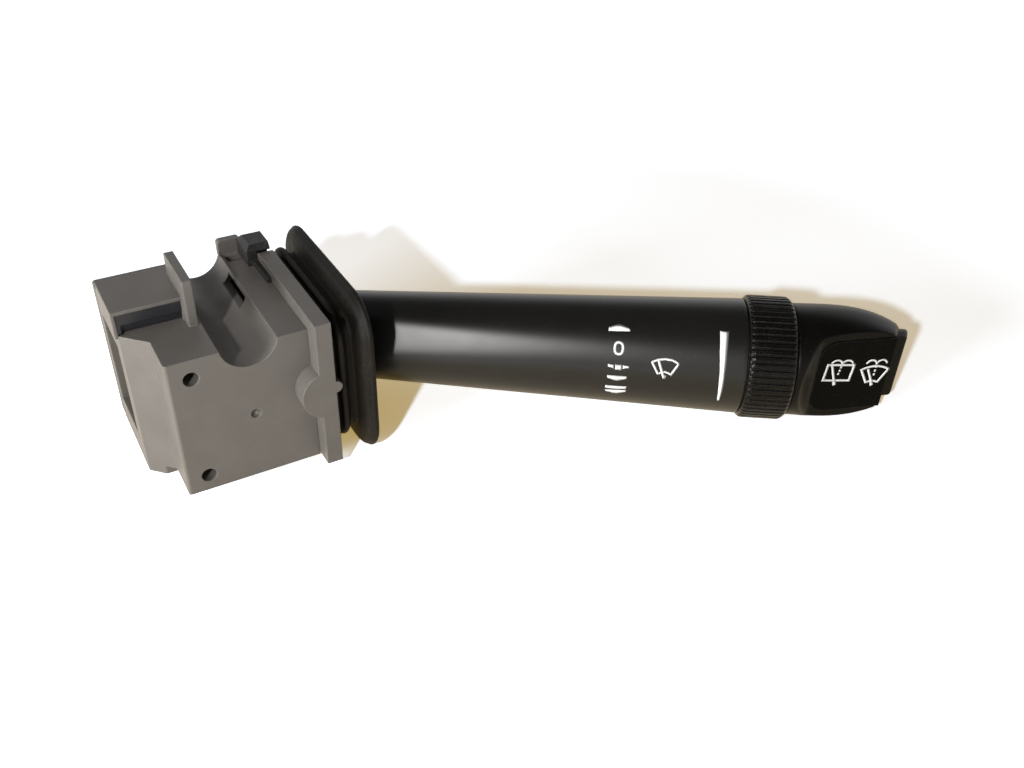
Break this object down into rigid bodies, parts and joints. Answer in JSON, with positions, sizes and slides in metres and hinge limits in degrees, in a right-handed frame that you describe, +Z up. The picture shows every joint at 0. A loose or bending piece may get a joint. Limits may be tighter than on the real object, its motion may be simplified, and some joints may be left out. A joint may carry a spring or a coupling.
{
  "type": "combination stalk switch",
  "caption": "Steering-column wiper switch: grey housing with a saddle and fixing bores, rubber column seal, and a black lever with a ribbed ring and an end button.",
  "frame": {"origin": "on the table, under the middle of the whole switch as it stands on its lower front edge and thumb ring", "axes": "+X forwards along the housing towards the lever, +Y away from the driver, +Z up from the table"},
  "size_m": [0.1604, 0.098, 0.0478],
  "materials": {
    "housing_grey": "fine satin",
    "cover_grey": "fine satin",
    "frame_grey": "fine satin",
    "latch_black": "satin",
    "carrier_black": "satin",
    "insulator_black": "satin",
    "terminal_brass": "bright drawn",
    "pin_steel": "ground",
    "yoke_acetal": "satin",
    "board": "satin laminate",
    "slider_acetal": "satin",
    "ramp_acetal": "satin",
    "core_black": "satin",
    "lever_black": "fine moulded satin",
    "ring_black": "gloss",
    "panel_black": "gloss",
    "button_black": "satin",
    "sleeve_acetal": "satin",
    "mat_silicone": "matt",
    "seal_rubber": "matt, slightly dusty",
    "wear_washer": "satin"
  },
  "bodies": {
    "housing": {"switch_housing": "housing_grey", "back_cover": "cover_grey", "cover_latch": "latch_black", "upper_carrier": "carrier_black", "connector_insert": "insulator_black", "terminal_pins": "terminal_brass", "front_frame": "frame_grey", "carrier_pins": "pin_steel", "contact_board": "board", "contact_tracks": "terminal_brass", "slider_guide": "slider_acetal", "detent_ramp": "ramp_acetal", "wash_contacts": "terminal_brass", "column_seal": "seal_rubber"},
    "yoke": {"lever_carrier": "yoke_acetal", "lever_pin": "pin_steel"},
    "lever": {"lever_core": "core_black", "lever_conductors": "terminal_brass", "stalk_tube": "lever_black", "ring_sleeve": "sleeve_acetal", "ring_contact_disc": "board", "ring_washer": "wear_washer", "head_shell": "lever_black", "icon_panel": "panel_black", "button_mat": "mat_silicone", "head_board": "board", "plunger_spring": "pin_steel"},
    "ring": {"thumb_ring": "ring_black", "ring_wiper": "terminal_brass"},
    "button": {"end_button": "button_black"},
    "plunger": {"detent_plunger": "pin_steel"},
    "slider": {"contact_slider": "slider_acetal", "slider_wipers": "terminal_brass"}
  },
  "joints": [
    {"name": "lever_updown", "type": "hinge", "parent": "housing", "child": "yoke", "pos_m": [-0.04234, 0.03163, 0.02113], "axis": [0, -1, 0], "range_deg": [-15, 5]},
    {"name": "lever_pull", "type": "hinge", "parent": "yoke", "child": "lever", "pos_m": [-0.04234, 0.03163, 0.02113], "axis": [-0.075, 0, -0.9972], "range_deg": [-6, 7], "stiffness_Nm_per_rad": 1},
    {"name": "ring_turn", "type": "hinge", "parent": "lever", "child": "ring", "pos_m": [0.04892, -0.0294, 0.01426], "axis": [0.8296, -0.5548, -0.0624], "range_deg": [-45, 45]},
    {"name": "button_press", "type": "slide", "parent": "lever", "child": "button", "axis": [-0.8296, 0.5548, 0.0624], "range_m": [0, 0.0014], "stiffness_N_per_m": 300},
    {"name": "plunger_slide", "type": "slide", "parent": "lever", "child": "plunger", "axis": [-0.9972, 0, 0.075], "range_m": [0, 0.0009], "stiffness_N_per_m": 200},
    {"name": "slider_travel", "type": "slide", "parent": "housing", "child": "slider", "axis": [0.075, 0, 0.9972], "range_m": [-0.00126, 0.00369]}
  ],
  "couplings": [
    {"joint": "slider_travel", "follows": "lever_updown", "m_per_rad": -0.0139}
  ]
}
